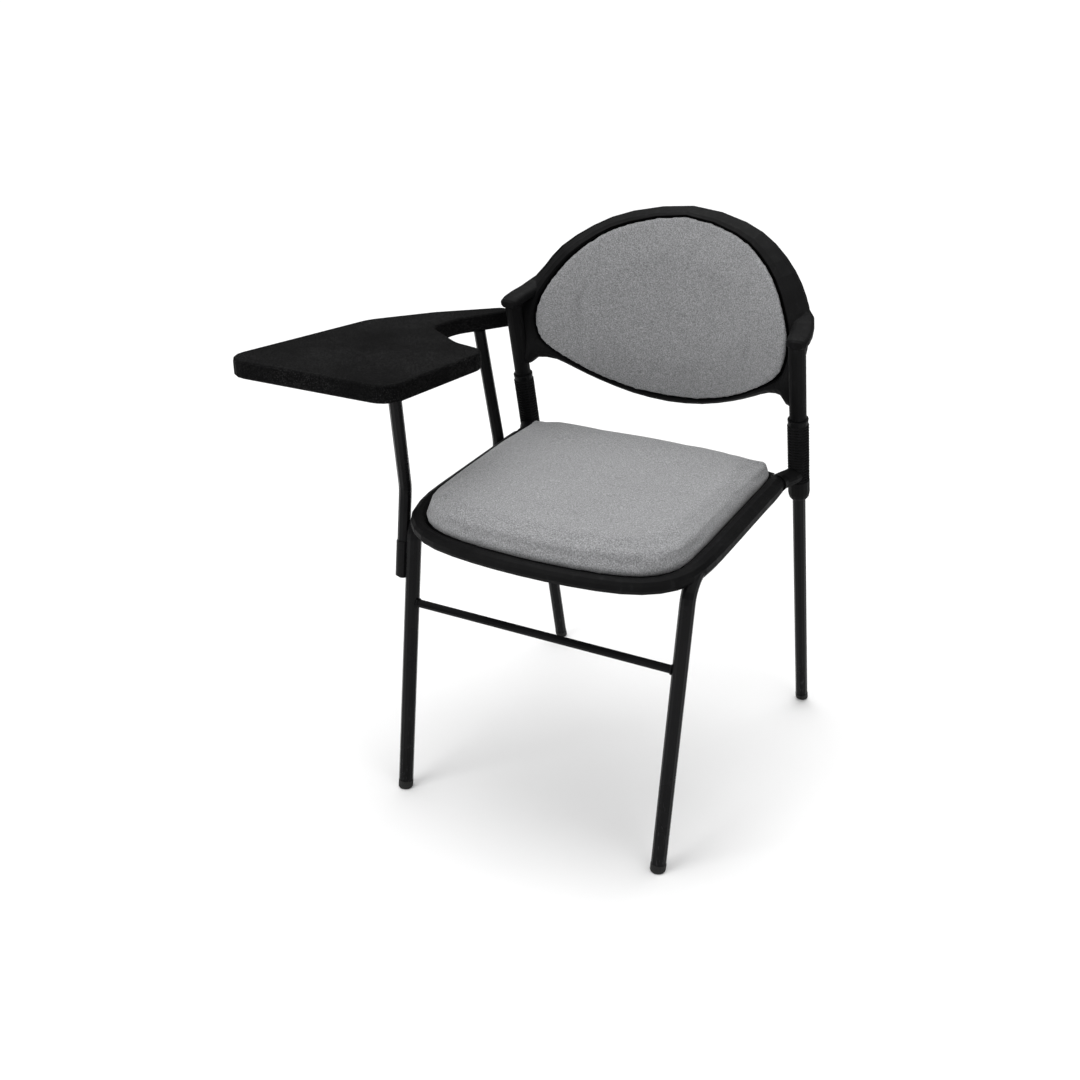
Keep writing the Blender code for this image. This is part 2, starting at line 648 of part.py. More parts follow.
def make_tablet():
    """The writing tablet: a thick moulded board with rounded edges, cut back to an arm rest at its rear."""
    tablet = slab("tablet_board", tablet_outline(), TABLET_THICKNESS, TABLET_BLACK)
    under = TABLET_TOP - TABLET_THICKNESS
    tablet.location = (0, 0, under)
    rounding = tablet.modifiers.new("rounding", "BEVEL")
    rounding.width = TABLET_EDGE
    rounding.segments = 3
    rounding.limit_method = "ANGLE"
    rounding.angle_limit = math.radians(50)
    for word, ((x, y), length, width, degrees, _) in TABLET_PLATES.items():
        size = (length + 2 * POCKET_GAP, width + 2 * POCKET_GAP, 2 * (PLATE_THICKNESS + GAP))
        pocket = turned_block("plate_pocket_" + word, (x, y, under), size, degrees, None)
        boolean(tablet, make_cutter(pocket), "DIFFERENCE")


def screw(name, place, direction, radius=0.0045, height=0.0028):
    """A screw's domed head, standing on place and facing direction."""
    profile = [(0.0, height), (radius * 0.5, height * 0.9), (radius * 0.85, height * 0.6), (radius, height * 0.2),
               (radius, 0.0), (0.0, 0.0)]
    return turned(name, Vector(place) + Vector(direction).normalized() * GAP, direction, profile, ZINC, sides=10)


def make_tablet_mounts():
    """Two steel plates let into the tablet's underside, each welded to the top of a post and held by screws."""
    under = TABLET_TOP - TABLET_THICKNESS
    for word, ((x, y), length, width, degrees, screws) in TABLET_PLATES.items():
        turned_block("tablet_plate_" + word, (x, y, under + PLATE_THICKNESS / 2), (length, width, PLATE_THICKNESS),
                     degrees, BLACK_STEEL, 0.001)
        turn = Matrix.Rotation(math.radians(degrees), 2)
        for number, place in enumerate(screws, 1):
            along_x, along_y = turn @ Vector(place)
            screw(f"tablet_screw_{word}_{number}", (x + along_x, y + along_y, under), (0, 0, -1))
    return under - GAP


def socket_point(z):
    """The place on the axis of the tablet's front socket, beside the right front leg."""
    leg = leg_point(-1, z)
    return Vector((leg.x + SOCKET_OFFSET[0], leg.y + SOCKET_OFFSET[1], z))


def make_tablet_posts(top_z):
    bottom, top = SOCKET_HEIGHTS
    bend = socket_point(0.470)
    head = Vector((*FRONT_POST_HEAD, top_z + POST_TRIM))
    front = tube("tablet_post_front", rounded_path([(socket_point(bottom + 0.003), 0), (bend, 0.05), (head, 0)], 5),
                 TABLET_POST_RADIUS, BLACK_STEEL, TABLET_POST_WALL)
    socket = cylinder("tablet_socket", socket_point(bottom), socket_point(top), SOCKET_OUTER, BLACK_STEEL, 20)
    bore = cylinder("tablet_socket_bore", socket_point(bottom - 0.01), socket_point(top + 0.01),
                    TABLET_POST_RADIUS + GAP, None)
    boolean(socket, make_cutter(bore), "DIFFERENCE")
    turned("tablet_socket_plug", socket_point(bottom - GAP), leg_point(-1, 0.0) - leg_point(-1, 0.3),
           [(0.0, 0.003), (0.006, 0.003), (0.008, 0.0015), (0.008, 0.0), (0.0, 0.0)], BLACK_PLASTIC)
    foot_height = rail_height(REAR_POST_FOOT[1])
    foot = Vector((*REAR_POST_FOOT, foot_height + BRACKET_DROP + 2 * GAP))
    side = Vector((*REAR_POST_FOOT, foot_height + 0.004))
    head = Vector((*REAR_POST_HEAD, top_z + POST_TRIM))
    rear = tube("tablet_post_rear", rounded_path([(foot, 0), (side, 0.04), (head, 0)], 5),
                TABLET_POST_RADIUS, BLACK_STEEL, TABLET_POST_WALL)
    for post, place in ((front, FRONT_POST_HEAD), (rear, REAR_POST_HEAD)):
        trim = block(post.name + "_trim", (*place, top_z + 0.02), (0.12, 0.12, 0.04), None)
        boolean(post, make_cutter(trim), "DIFFERENCE")


def make_rear_bracket():
    """An angle plate under the right side rail that carries the foot of the tablet's rear post."""
    web_top, shelf_top = -LEG_RADIUS - GAP, BRACKET_DROP - GAP
    shelf_bottom = shelf_top - PLATE_THICKNESS
    web_in, web_out = -RAIL_X + PLATE_THICKNESS / 2, -RAIL_X - PLATE_THICKNESS / 2
    shelf_end = REAR_POST_FOOT[0] - TABLET_POST_RADIUS
    profile = [(shelf_end, shelf_bottom), (web_in, shelf_bottom), (web_in, web_top), (web_out, web_top),
               (web_out, shelf_top), (shelf_end, shelf_top)]
    bracket = slab("tablet_bracket", profile, BRACKET_LENGTH, BLACK_STEEL)
    start = REAR_POST_FOOT[1] + BRACKET_LENGTH / 2
    bracket.location = (0, start, rail_height(start))
    bracket.rotation_euler = (math.pi / 2 + math.atan(RAIL_SLOPE), 0, 0)


def make_screws():
    for name, y in SEAT_RAIL_YS.items():
        z = seat_rail_height(y) - SEAT_RAIL_RADIUS
        for side, word in SIDES:
            screw(f"seat_screw_{name.split('_')[-1]}_{word}", (side * 0.120, y, z), (0, 0, -1))
    for side, word in SIDES:
        for z in (0.570, 0.592):
            normal = Vector((0, 1, -POST_LEAN[1]))
            place = post_point(side, z) + normal.normalized() * SOCKET_RADIUS
            level = "low" if z < 0.58 else "high"
            screw(f"back_screw_{level}_{word}", place, normal, 0.004, 0.0022)


SIDES = [(-1, "right"), (1, "left")]
clear_scene()
PARTS = new_collection("student_desk_chair")
CUTTERS = new_collection("cutters")
CHAIR = bpy.data.objects.new("chair_frame", None)
PARTS.objects.link(CHAIR)
CHAIR.location = ORIGIN_SHIFT

make_frame()
for chair_side, side_word in SIDES:
    make_sleeve(chair_side, side_word)
make_pan()
make_seat_cushion()
make_back_frame()
make_back_cushion()
make_tablet()
plate_bottom = make_tablet_mounts()
make_tablet_posts(plate_bottom)
make_rear_bracket()
make_screws()
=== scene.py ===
"""The student desk chair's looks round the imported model.

Materials for the CAD solids, two filled pads, two welds, and the floor, lights and camera."""
import math

import bmesh
import bpy
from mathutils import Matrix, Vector, noise


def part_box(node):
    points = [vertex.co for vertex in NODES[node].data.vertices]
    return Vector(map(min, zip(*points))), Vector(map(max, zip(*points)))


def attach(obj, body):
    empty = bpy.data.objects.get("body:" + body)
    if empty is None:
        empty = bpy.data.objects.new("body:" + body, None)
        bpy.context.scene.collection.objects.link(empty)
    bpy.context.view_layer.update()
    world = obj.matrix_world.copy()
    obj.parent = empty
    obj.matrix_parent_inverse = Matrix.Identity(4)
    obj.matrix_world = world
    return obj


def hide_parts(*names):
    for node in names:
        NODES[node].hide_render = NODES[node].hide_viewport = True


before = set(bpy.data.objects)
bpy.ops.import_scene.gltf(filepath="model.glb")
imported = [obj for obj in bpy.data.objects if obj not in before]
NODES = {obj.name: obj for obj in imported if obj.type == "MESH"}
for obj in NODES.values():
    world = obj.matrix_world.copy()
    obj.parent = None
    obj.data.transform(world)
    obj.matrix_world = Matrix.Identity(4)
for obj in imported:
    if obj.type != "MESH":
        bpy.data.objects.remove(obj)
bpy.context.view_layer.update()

SCENE = bpy.context.scene

# The camera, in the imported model's frame.
CAMERA_TARGET = Vector((0.0943, -0.1848, 0.4258))
CAMERA_DISTANCE = 1.9212
CAMERA_AZIMUTH = math.radians(28.95)
CAMERA_ELEVATION = math.radians(24.28)
CAMERA_LENS = 45.3167
CAMERA_SENSOR = 36.0

# The studio. Lights are in watts, except the ceiling, a sun, in watts per square metre.
FLOOR_RADIUS = 30.0
LIGHT_TARGET = (0.0, 0.0, 0.45)
KEY = {"place": (-1.2, -2.7, 2.3), "size": 1.8, "power": 44.0}
FILL = {"place": (2.6, -1.4, 1.9), "size": 1.6, "power": 14.0}
CEILING_STRENGTH = 1.5
CEILING_SPREAD = math.radians(50)
CEILING_TILT = (math.radians(-14), math.radians(-12), 0)
WORLD_STRENGTH = 1.2
WORLD_LOW = (0.35, 0.16)
WORLD_HIGH = (0.75, 1.0)

# The pads' cloth.
VOXEL = 0.004
PRESSURE = 4.0
SIM_FRAMES = 20
CLOTH_QUALITY = 5
CLOTH_MASS = 0.3
STRETCH_STIFFNESS = 15.0
SHEAR_STIFFNESS = 8.0
BEND_STIFFNESS = 0.8
THREAD_PITCH = 0.0011
PULL_PITCH = 42.0
UNEVEN_PITCH = 11.0
UNEVEN_DEPTH = 0.0006

# The surfaces that the pads rest on, as the part draws them before it is moved by SHIFT_X and SHIFT_Y.
SHIFT_X = 0.1187
SHIFT_Y = -0.0394
RAIL_HEIGHT = 0.4455
RAIL_SLOPE = 0.06
PAD_BASE = 0.0019
BACK = {"y": 0.2427, "z": 0.6045, "lean": 0.159, "curve": 1.708, "rear": 0.0020}

# The welds at the crossbar's ends.
WELD_TURNS = 44
WELD_SIDES = 8
WELD_BEAD = 0.0017
WELD_STANDOFF = 0.0002
WELD_SEED_STEP = 3.1


# ---------------------------------------------------------------- node helpers

class Shading:
    """One procedural material, and short names for the nodes that it is made of."""

    def __init__(self, name):
        self.material = bpy.data.materials.new(name)
        self.material.use_nodes = True
        self.tree = self.material.node_tree
        self.shader = self.tree.nodes["Principled BSDF"]
        self.place = self.node("ShaderNodeTexCoord").outputs["Object"]

    def node(self, kind, **settings):
        made = self.tree.nodes.new(kind)
        for key, value in settings.items():
            setattr(made, key, value)
        return made

    def put(self, socket, value):
        """Links an output to a socket, or sets the socket to a value."""
        if isinstance(value, bpy.types.NodeSocket):
            self.tree.links.new(value, socket)
        else:
            socket.default_value = value

    def math(self, operation, a, b=0.0, clamp=False):
        made = self.node("ShaderNodeMath", operation=operation, use_clamp=clamp)
        self.put(made.inputs[0], a)
        self.put(made.inputs[1], b)
        return made.outputs[0]

    def stretched(self, scale):
        """The object's coordinates with each axis scaled on its own."""
        made = self.node("ShaderNodeVectorMath", operation="MULTIPLY")
        self.put(made.inputs[0], self.place)
        made.inputs[1].default_value = scale
        return made.outputs[0]

    def noise(self, scale, detail=2.0, roughness=0.5, at=None):
        made = self.node("ShaderNodeTexNoise")
        self.put(made.inputs["Vector"], at or self.place)
        made.inputs["Scale"].default_value = scale
        made.inputs["Detail"].default_value = detail
        made.inputs["Roughness"].default_value = roughness
        return made.outputs["Fac"]

    def cells(self, scale, feature="DISTANCE_TO_EDGE", at=None):
        made = self.node("ShaderNodeTexVoronoi", feature=feature)
        self.put(made.inputs["Vector"], at or self.place)
        made.inputs["Scale"].default_value = scale
        return made.outputs["Distance"]

    def span(self, value, low, high, to_low, to_high):
        made = self.node("ShaderNodeMapRange")
        for key, given in (("Value", value), ("From Min", low), ("From Max", high),
                           ("To Min", to_low), ("To Max", to_high)):
            self.put(made.inputs[key], given)
        return made.outputs["Result"]

    def ramp(self, value, *stops):
        made = self.node("ShaderNodeValToRGB")
        elements = made.color_ramp.elements
        while len(elements) < len(stops):
            elements.new(0.5)
        for element, (position, colour) in zip(elements, stops):
            element.position = position
            element.color = (*colour, 1.0)
        self.put(made.inputs["Fac"], value)
        return made.outputs["Color"]

    def mix(self, share, a, b):
        made = self.node("ShaderNodeMix", data_type="RGBA")
        self.put(made.inputs["Factor"], share)
        for key, given in ((6, a), (7, b)):
            self.put(made.inputs[key], (*given, 1.0) if isinstance(given, tuple) else given)
        return made.outputs[2]

    def bump(self, height, distance, strength):
        made = self.node("ShaderNodeBump")
        made.inputs["Distance"].default_value = distance
        made.inputs["Strength"].default_value = strength
        self.put(made.inputs["Height"], height)
        return made.outputs["Normal"]

    def finish(self, colour, roughness, normal, **constants):
        self.put(self.shader.inputs["Base Color"], colour)
        self.put(self.shader.inputs["Roughness"], roughness)
        self.put(self.shader.inputs["Normal"], normal)
        for key, value in constants.items():
            self.shader.inputs[key.replace("_", " ")].default_value = value
        return self.material


# ---------------------------------------------------------------- materials

def powder_coat(name):
    """Satin black powder coat: orange peel, uneven tone, and scuffs low on the legs."""
    s = Shading(name)
    peel = s.noise(620.0, 2.0, 0.45)
    broad = s.noise(9.0, 3.0)
    height = s.node("ShaderNodeSeparateXYZ")
    s.put(height.inputs[0], s.place)
    low = s.span(height.outputs["Z"], 0.02, 0.16, 1.0, 0.0)
    scratch = s.noise(1.0, 3.0, 0.6, at=s.stretched((420.0, 420.0, 60.0)))
    scuffed = s.math("MULTIPLY", s.span(scratch, 0.60, 0.68, 0.0, 1.0), low, clamp=True)
    colour = s.ramp(broad, (0.30, (0.0030, 0.0030, 0.0033)), (0.72, (0.0060, 0.0060, 0.0064)))
    colour = s.mix(s.math("MULTIPLY", scuffed, 0.5), colour, (0.050, 0.050, 0.052))
    rough = s.math("ADD", s.span(broad, 0.3, 0.7, 0.24, 0.34), s.math("MULTIPLY", scuffed, 0.2))
    return s.finish(colour, rough, s.bump(peel, 0.00012, 0.55), Specular_IOR_Level=0.08)


def moulded_plastic(name, rough=(0.44, 0.56)):
    """Black polypropylene with a fine sparked grain, uneven tone and rubbed streaks."""
    s = Shading(name)
    grain = s.noise(1500.0, 2.0, 0.6)
    pits = s.cells(900.0, "F1")
    broad = s.noise(14.0, 4.0)
    rubbed = s.noise(1.0, 4.0, 0.6, at=s.stretched((90.0, 90.0, 25.0)))
    colour = s.ramp(broad, (0.30, (0.0032, 0.0032, 0.0034)), (0.70, (0.0062, 0.0062, 0.0064)))
    worn = s.span(rubbed, 0.60, 0.74, 0.0, 0.35)
    colour = s.mix(worn, colour, (0.016, 0.016, 0.017))
    surface = s.math("ADD", grain, s.math("MULTIPLY", pits, 0.5))
    return s.finish(colour, s.span(rubbed, 0.35, 0.70, rough[1], rough[0]),
                    s.bump(surface, 0.00022, 0.6), Specular_IOR_Level=0.04)


def foot_plastic(name):
    """Matt foot caps, dusty where they meet the floor."""
    s = Shading(name)
    height = s.node("ShaderNodeSeparateXYZ")
    s.put(height.inputs[0], s.place)
    low = s.span(height.outputs["Z"], 0.0, 0.007, 0.8, 0.05)
    dust = s.math("MULTIPLY", s.noise(500.0, 4.0, 0.7), low, clamp=True)
    colour = s.mix(dust, (0.007, 0.007, 0.007), (0.045, 0.043, 0.040))
    return s.finish(colour, s.span(dust, 0.0, 0.6, 0.60, 0.85),
                    s.bump(s.noise(900.0, 3.0), 0.0002, 0.6), Specular_IOR_Level=0.25)


def leather_grain(name):
    """The tablet's black moulding with an embossed leather grain, smoother on its high spots; its colour
    has painted shade in the grooves between the pebbles and a painted highlight on their tops.
    """
    s = Shading(name)
    drift = s.node("ShaderNodeVectorMath", operation="MULTIPLY_ADD")
    warp = s.node("ShaderNodeTexNoise")
    s.put(warp.inputs["Vector"], s.place)
    warp.inputs["Scale"].default_value = 260.0
    s.put(drift.inputs[0], warp.outputs["Color"])
    drift.inputs[1].default_value = (0.0022, 0.0022, 0.0022)
    s.put(drift.inputs[2], s.place)
    pebble = s.span(s.cells(430.0, at=drift.outputs[0]), 0.02, 0.30, 0.0, 1.0)
    fine = s.noise(1400.0, 3.0, 0.6)
    broad = s.noise(11.0, 4.0, 0.6)
    high = s.math("MULTIPLY", pebble, s.span(broad, 0.3, 0.7, 0.55, 1.0))
    # Painted shade and highlight: over a random tone, the colour is darkest in the grooves between the
    # pebbles and lightest on their tops.
    colour = s.ramp(high, (0.10, (0.0010, 0.0010, 0.0011)), (0.60, (0.0042, 0.0042, 0.0044)),
                    (0.95, (0.0280, 0.0280, 0.0284)))
    surface = s.math("ADD", pebble, s.math("MULTIPLY", fine, 0.35))
    return s.finish(colour, s.span(high, 0.1, 0.9, 0.66, 0.50), s.bump(surface, 0.00045, 0.85),
                    Specular_IOR_Level=0.03)


def thread_height(s, across, along):
    """A plain weave's height: yarns both ways, each passing over and under the other."""
    half = math.pi / THREAD_PITCH
    u, v = s.math("MULTIPLY", across, half), s.math("MULTIPLY", along, half)
    warp = s.math("ABSOLUTE", s.math("SINE", u))
    weft = s.math("ABSOLUTE", s.math("SINE", v))
    turn_u = s.math("MULTIPLY", s.math("FLOOR", s.math("MULTIPLY", u, 1 / math.pi)), math.pi)
    turn_v = s.math("MULTIPLY", s.math("FLOOR", s.math("MULTIPLY", v, 1 / math.pi)), math.pi)
    rise_u = s.math("ADD", s.math("MULTIPLY", s.math("SINE", s.math("ADD", v, turn_u)), 0.5), 0.5)
    rise_v = s.math("SUBTRACT", 0.5, s.math("MULTIPLY", s.math("SINE", s.math("ADD", u, turn_v)), 0.5))
    return s.math("MAXIMUM", s.math("MULTIPLY", warp, rise_u), s.math("MULTIPLY", weft, rise_v))


def heather_fabric(name):
    """Grey heathered upholstery weave, laid on from three sides so that it runs square over every face,
    with painted shade in the gaps between the yarns.
    """
    s = Shading(name)
    place = s.node("ShaderNodeSeparateXYZ")
    s.put(place.inputs[0], s.place)
    x, y, z = place.outputs
    facing = s.node("ShaderNodeSeparateXYZ")
    s.put(facing.inputs[0], s.node("ShaderNodeNewGeometry").outputs["Normal"])
    shares = [s.math("POWER", s.math("ABSOLUTE", part), 6.0) for part in facing.outputs]
    total = s.math("ADD", s.math("ADD", shares[0], shares[1]), shares[2])
    weave = 0.0
    for share, (across, along) in zip(shares, ((y, z), (x, z), (x, y))):
        part = s.math("MULTIPLY", thread_height(s, across, along), s.math("DIVIDE", share, total))
        weave = s.math("ADD", part, weave)
    fleck = s.noise(560.0, 3.0, 0.65)
    slub_x = s.noise(1.0, 3.0, 0.6, at=s.stretched((120.0, 900.0, 900.0)))
    slub_y = s.noise(1.0, 3.0, 0.6, at=s.stretched((900.0, 120.0, 900.0)))
    slub_z = s.noise(1.0, 3.0, 0.6, at=s.stretched((900.0, 900.0, 120.0)))
    slub = s.math("MULTIPLY", s.math("ADD", s.math("ADD", slub_x, slub_y), slub_z), 1 / 3)
    broad = s.noise(16.0, 4.0, 0.55)
    tone = s.math("ADD", s.math("MULTIPLY", fleck, 0.70), s.math("MULTIPLY", slub, 0.30))
    colour = s.ramp(tone, (0.38, (0.130, 0.131, 0.135)), (0.495, (0.233, 0.235, 0.240)),
                    (0.61, (0.375, 0.377, 0.383)))
    # Painted shade: the colour goes towards a dark grey where the weave is low, in the gaps between the
    # yarns.
    colour = s.mix(s.span(weave, 0.0, 0.75, 0.30, 0.0), colour, (0.105, 0.106, 0.110))
    colour = s.mix(s.span(broad, 0.35, 0.70, 0.0, 0.12), colour, (0.165, 0.166, 0.170))
    surface = s.math("ADD", weave, s.math("MULTIPLY", fleck, 0.6))
    return s.finish(colour, s.span(tone, 0.35, 0.65, 0.96, 0.86), s.bump(surface, 0.00042, 0.8),
                    Specular_IOR_Level=0.18, Sheen_Weight=0.28, Sheen_Roughness=0.45)


def birch_ply(name):
    """The boards inside the pads: a wavy face grain with fine fibres."""
    s = Shading(name)
    wave = s.node("ShaderNodeTexWave", wave_type="BANDS", bands_direction="X")
    s.put(wave.inputs["Vector"], s.place)
    wave.inputs["Scale"].default_value = 14.0
    wave.inputs["Distortion"].default_value = 9.0
    wave.inputs["Detail"].default_value = 3.0
    fibre = s.noise(1.0, 4.0, 0.6, at=s.stretched((900.0, 40.0, 900.0)))
    tone = s.math("ADD", s.math("MULTIPLY", wave.outputs["Fac"], 0.5), s.math("MULTIPLY", fibre, 0.5))
    colour = s.ramp(tone, (0.2, (0.42, 0.29, 0.17)), (0.8, (0.62, 0.47, 0.30)))
    return s.finish(colour, s.span(fibre, 0.3, 0.7, 0.62, 0.78), s.bump(fibre, 0.0002, 0.5))


def zinc_plate(name):
    """Bright zinc plating with a faint bluish and straw cast."""
    s = Shading(name)
    cast = s.noise(160.0, 3.0)
    turned = s.noise(1.0, 2.0, 0.5, at=s.stretched((1500.0, 1500.0, 400.0)))
    colour = s.ramp(cast, (0.3, (0.42, 0.44, 0.48)), (0.7, (0.56, 0.54, 0.47)))
    return s.finish(colour, s.span(turned, 0.3, 0.7, 0.26, 0.44),
                    s.bump(turned, 0.0001, 0.5), Metallic=1.0)


def dress(node, material):
    obj = NODES[node]
    if not obj.material_slots:
        obj.data.materials.append(material)
    for slot in obj.material_slots:
        slot.material = material


# ---------------------------------------------------------------- pieces

def add_piece(name, mesh, material):
    piece = bpy.data.objects.new(name, mesh)
    SCENE.collection.objects.link(piece)
    mesh.materials.clear()
    mesh.materials.append(material)
    mesh.shade_smooth()
    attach(piece, "root")
    return piece


def remeshed(node):
    """A copy of a CAD solid's mesh, evenly remeshed."""
    helper = bpy.data.objects.new("helper", NODES[node].data.copy())
    SCENE.collection.objects.link(helper)
    modifier = helper.modifiers.new("remesh", "REMESH")
    modifier.mode = "VOXEL"
    modifier.voxel_size = VOXEL
    bpy.context.view_layer.update()
    graph = bpy.context.evaluated_depsgraph_get()
    mesh = bpy.data.meshes.new_from_object(helper.evaluated_get(graph))
    bpy.data.objects.remove(helper, do_unlink=True)
    return mesh


def relax(mesh, rounds, moved=None):
    """Smooths the mesh, or only the points whose entry in moved is true."""
    bm = bmesh.new()
    bm.from_mesh(mesh)
    bm.verts.ensure_lookup_table()
    points = [v for v in bm.verts if moved is None or moved[v.index]]
    for _ in range(rounds):
        bmesh.ops.smooth_vert(bm, verts=points, factor=0.5,
                              use_axis_x=True, use_axis_y=True, use_axis_z=True)
    bm.to_mesh(mesh)
    bm.free()


def settle_on(mesh, solid):
    """Moves every point of the mesh to the nearest place on a CAD solid's surface."""
    for vertex in mesh.vertices:
        found, place, _, _ = solid.closest_point_on_mesh(vertex.co)
        if found:
            vertex.co = place


def puffed(mesh, held, limits):
    """The places of the mesh's points once air pressure has filled it, none moved past its limit."""
    helper = bpy.data.objects.new("helper", mesh)
    SCENE.collection.objects.link(helper)
    group = helper.vertex_groups.new(name="held")
    group.add([i for i, is_held in enumerate(held) if is_held], 1.0, "REPLACE")
    cloth = helper.modifiers.new("cloth", "CLOTH")
    settings = cloth.settings
    settings.quality = CLOTH_QUALITY
    settings.mass = CLOTH_MASS
    settings.tension_stiffness = STRETCH_STIFFNESS
    settings.compression_stiffness = STRETCH_STIFFNESS
    settings.shear_stiffness = SHEAR_STIFFNESS
    settings.bending_stiffness = BEND_STIFFNESS
    settings.vertex_group_mass = "held"
    settings.use_pressure = True
    settings.uniform_pressure_force = PRESSURE
    settings.effector_weights.gravity = 0.0
    cloth.point_cache.frame_start = 1
    cloth.point_cache.frame_end = SIM_FRAMES
    for number in range(1, SIM_FRAMES + 1):
        SCENE.frame_set(number)
    graph = bpy.context.evaluated_depsgraph_get()
    filled = helper.evaluated_get(graph).data
    places = []
    for before, after, limit in zip(mesh.vertices, filled.vertices, limits):
        move = after.co - before.co
        if move.length > limit:
            move *= limit / move.length
        places.append(before.co + move)
    helper.modifiers.remove(cloth)
    bpy.data.objects.remove(helper, do_unlink=True)
    SCENE.frame_set(1)
    return places


def smoothstep(low, high, value):
    share = min(1.0, max(0.0, (value - low) / (high - low)))
    return share * share * (3 - 2 * share)


def make_pad(name, node, height_of, facing, inset, swell, held_below, free_above, pull_depth):
    """A cushion from its CAD solid: drawn in, filled by cloth simulation, then made slightly uneven.

    height_of(point) is how far a point stands off the surface that the pad rests on. Points lower than
    held_below stay still, and points higher than free_above move fully."""
    mesh = remeshed(node)
    relax(mesh, 3)
    settle_on(mesh, NODES[node])
    heights = [height_of(v.co) for v in mesh.vertices]
    held = [height < held_below for height in heights]
    shares = [smoothstep(held_below, free_above, height) for height in heights]
    normals = [v.normal.copy() for v in mesh.vertices]
    for vertex, normal, share in zip(mesh.vertices, normals, shares):
        vertex.co -= normal * inset * share
    limits = [swell * share for share in shares]
    for vertex, place in zip(mesh.vertices, puffed(mesh, held, limits)):
        vertex.co = place
    relax(mesh, 2, [not is_held for is_held in held])
    for vertex, normal, share in zip(mesh.vertices, normals, shares):
        band = (1.0 - abs(normal.dot(Vector(facing)))) * share
        pulled = noise.noise(vertex.co * PULL_PITCH)
        uneven = noise.noise(vertex.co * UNEVEN_PITCH)
        vertex.co += normal * (pulled * pull_depth * band + uneven * UNEVEN_DEPTH * share)
    piece = add_piece(name, mesh, FABRIC)
    fine = piece.modifiers.new("fine", "SUBSURF")
    fine.levels = 1
    fine.render_levels = 1
    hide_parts(node)


def bead_ring(name, centre, axis, radius, bead, seed):
    """A weld: a rippled bead run round the end of a tube."""
    axis = Vector(axis).normalized()
    first = axis.orthogonal().normalized()
    second = axis.cross(first)
    bm = bmesh.new()
    rows = []
    for i in range(WELD_TURNS):
        angle = 2 * math.pi * i / WELD_TURNS
        outward = first * math.cos(angle) + second * math.sin(angle)
        uneven = noise.noise(outward * 1.7 + Vector((seed, 0, 0)))
        size = bead * (1.0 + 0.16 * math.sin(angle * 11) + 0.22 * uneven)
        middle = Vector(centre) + outward * radius
        row = []
        for k in range(WELD_SIDES):
            turn = 2 * math.pi * k / WELD_SIDES
            away = outward * math.cos(turn) + axis * math.sin(turn)
            row.append(bm.verts.new(middle + away * size))
        rows.append(row)
    for i in range(WELD_TURNS):
        for k in range(WELD_SIDES):
            j, m = (i + 1) % WELD_TURNS, (k + 1) % WELD_SIDES
            bm.faces.new((rows[i][k], rows[j][k], rows[j][m], rows[i][m]))
    bmesh.ops.recalc_face_normals(bm, faces=bm.faces)
    mesh = bpy.data.meshes.new(name)
    bm.to_mesh(mesh)
    bm.free()
    add_piece(name, mesh, STEEL)


# ---------------------------------------------------------------- studio

def make_camera():
    data = bpy.data.cameras.new("camera")
    camera = bpy.data.objects.new("camera", data)
    SCENE.collection.objects.link(camera)
    back = Vector((math.sin(CAMERA_AZIMUTH) * math.cos(CAMERA_ELEVATION),
                   -math.cos(CAMERA_AZIMUTH) * math.cos(CAMERA_ELEVATION),
                   math.sin(CAMERA_ELEVATION)))
    data.sensor_width = CAMERA_SENSOR
    data.lens = CAMERA_LENS
    camera.location = CAMERA_TARGET + back * CAMERA_DISTANCE
    camera.rotation_euler = (-back).to_track_quat("-Z", "Y").to_euler()
    SCENE.camera = camera


def area_light(name, given):
    data = bpy.data.lights.new(name, "AREA")
    data.shape = "RECTANGLE"
    data.size = given["size"]
    data.size_y = given["size"]
    data.energy = given["power"]
    light = bpy.data.objects.new(name, data)
    SCENE.collection.objects.link(light)
    light.location = given["place"]
    aim = Vector(LIGHT_TARGET) - Vector(given["place"])
    light.rotation_euler = aim.to_track_quat("-Z", "Y").to_euler()


def make_floor():
    s = Shading("studio_floor")
    colour = s.ramp(s.noise(1.5, 3.0), (0.35, (0.80, 0.80, 0.80)), (0.65, (0.83, 0.83, 0.83)))
    normal = s.bump(s.noise(220.0, 3.0), 0.0002, 0.2)
    material = s.finish(colour, 0.9, normal, Specular_IOR_Level=0.1)
    bm = bmesh.new()
    bmesh.ops.create_circle(bm, cap_ends=True, segments=96, radius=FLOOR_RADIUS)
    mesh = bpy.data.meshes.new("floor")
    bm.to_mesh(mesh)
    bm.free()
    mesh.materials.append(material)
    floor = bpy.data.objects.new("floor", mesh)
    SCENE.collection.objects.link(floor)


def make_world():
    """A pale studio: bright overhead, dim near the horizon."""
    world = bpy.data.worlds.new("studio")
    world.use_nodes = True
    SCENE.world = world
    tree = world.node_tree
    background = tree.nodes["Background"]
    place = tree.nodes.new("ShaderNodeTexCoord")
    split = tree.nodes.new("ShaderNodeSeparateXYZ")
    ramp = tree.nodes.new("ShaderNodeValToRGB")
    tree.links.new(place.outputs["Generated"], split.inputs[0])
    tree.links.new(split.outputs["Z"], ramp.inputs["Fac"])
    tree.links.new(ramp.outputs["Color"], background.inputs["Color"])
    for element, (position, level) in zip(ramp.color_ramp.elements, (WORLD_LOW, WORLD_HIGH)):
        element.position = position
        element.color = (level, level, level, 1.0)
    background.inputs["Strength"].default_value = WORLD_STRENGTH


def make_lights():
    area_light("key", KEY)
    area_light("fill", FILL)
    data = bpy.data.lights.new("ceiling", "SUN")
    data.energy = CEILING_STRENGTH
    data.angle = CEILING_SPREAD
    ceiling = bpy.data.objects.new("ceiling", data)
    SCENE.collection.objects.link(ceiling)
    ceiling.rotation_euler = CEILING_TILT


# ---------------------------------------------------------------- the chair

make_camera()
make_floor()
make_world()
make_lights()
SCENE.view_settings.view_transform = "Standard"

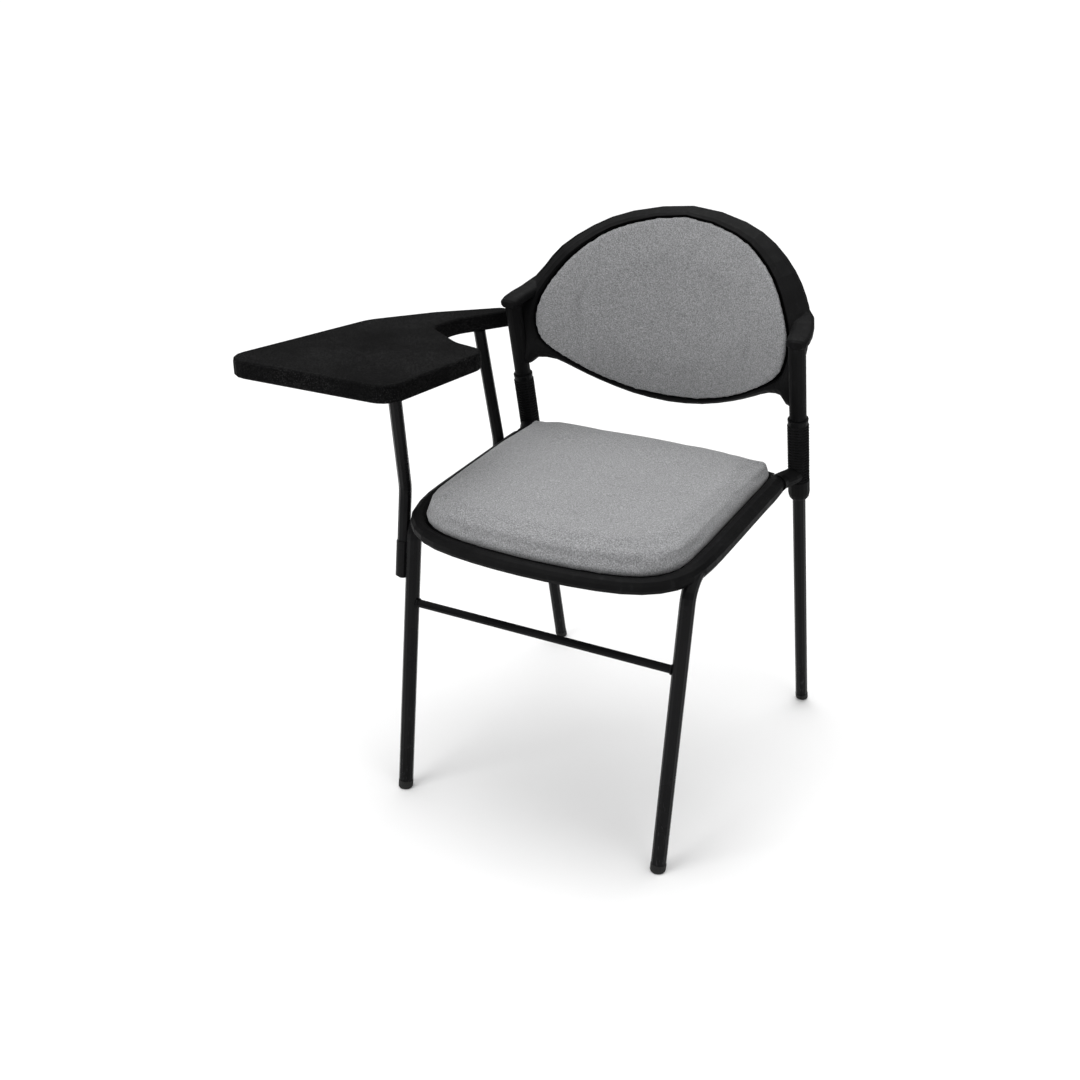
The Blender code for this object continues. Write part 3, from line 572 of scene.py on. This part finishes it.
STEEL = powder_coat("black_powder_coat")
PLASTIC = moulded_plastic("black_moulded_plastic")
SLEEVE_PLASTIC = moulded_plastic("black_sleeve_plastic", (0.38, 0.50))
FEET = foot_plastic("black_foot_plastic")
TABLET = leather_grain("tablet_leather_grain")
FABRIC = heather_fabric("grey_heather_fabric")
PLY = birch_ply("birch_plywood")
ZINC = zinc_plate("zinc_plate")

STEEL_NODES = ("side_tube", "rear_post", "front_crossbar", "seat_rail",
               "tablet_plate", "tablet_post", "tablet_bracket")

for node_name in NODES:
    if node_name.startswith(STEEL_NODES) or node_name == "tablet_socket":
        dress(node_name, STEEL)
    elif node_name.startswith("joint_sleeve"):
        dress(node_name, SLEEVE_PLASTIC)
    elif node_name.startswith("foot_cap"):
        dress(node_name, FEET)
    elif node_name == "tablet_board":
        dress(node_name, TABLET)
    elif "screw" in node_name:
        dress(node_name, ZINC)
    elif node_name.endswith("_board"):
        dress(node_name, PLY)
    elif node_name.endswith("_pad"):
        dress(node_name, FABRIC)
    else:
        dress(node_name, PLASTIC)


def above_seat(point):
    """How far a point stands above the plane that the seat pad rests on."""
    return point.z - (RAIL_HEIGHT + RAIL_SLOPE * (point.y - SHIFT_Y) + PAD_BASE)


def before_back(point):
    """How far a point stands in front of the curved panel that the back pad rests on."""
    surface = (BACK["y"] + BACK["lean"] * (point.z - BACK["z"])
               - BACK["curve"] * (point.x - SHIFT_X) ** 2 + BACK["rear"])
    return surface - (point.y - SHIFT_Y)


make_pad("seat_pad_soft", "seat_pad", above_seat, (0, 0, 1), inset=0.0020, swell=0.0055,
         held_below=0.0100, free_above=0.0210, pull_depth=0.0009)
make_pad("back_pad_soft", "back_pad", before_back, (0, 1, 0), inset=0.0016, swell=0.0046,
         held_below=0.0050, free_above=0.0130, pull_depth=0.0006)

box_low, box_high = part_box("front_crossbar")
bar_middle = (box_low + box_high) / 2
bar_radius = (box_high.z - box_low.z) / 2
for seed, end_x in enumerate((box_low.x, box_high.x)):
    bead_ring(f"crossbar_weld_{seed + 1}", (end_x, bar_middle.y, bar_middle.z), (1, 0, 0),
              bar_radius + WELD_STANDOFF, WELD_BEAD, seed * WELD_SEED_STEP)
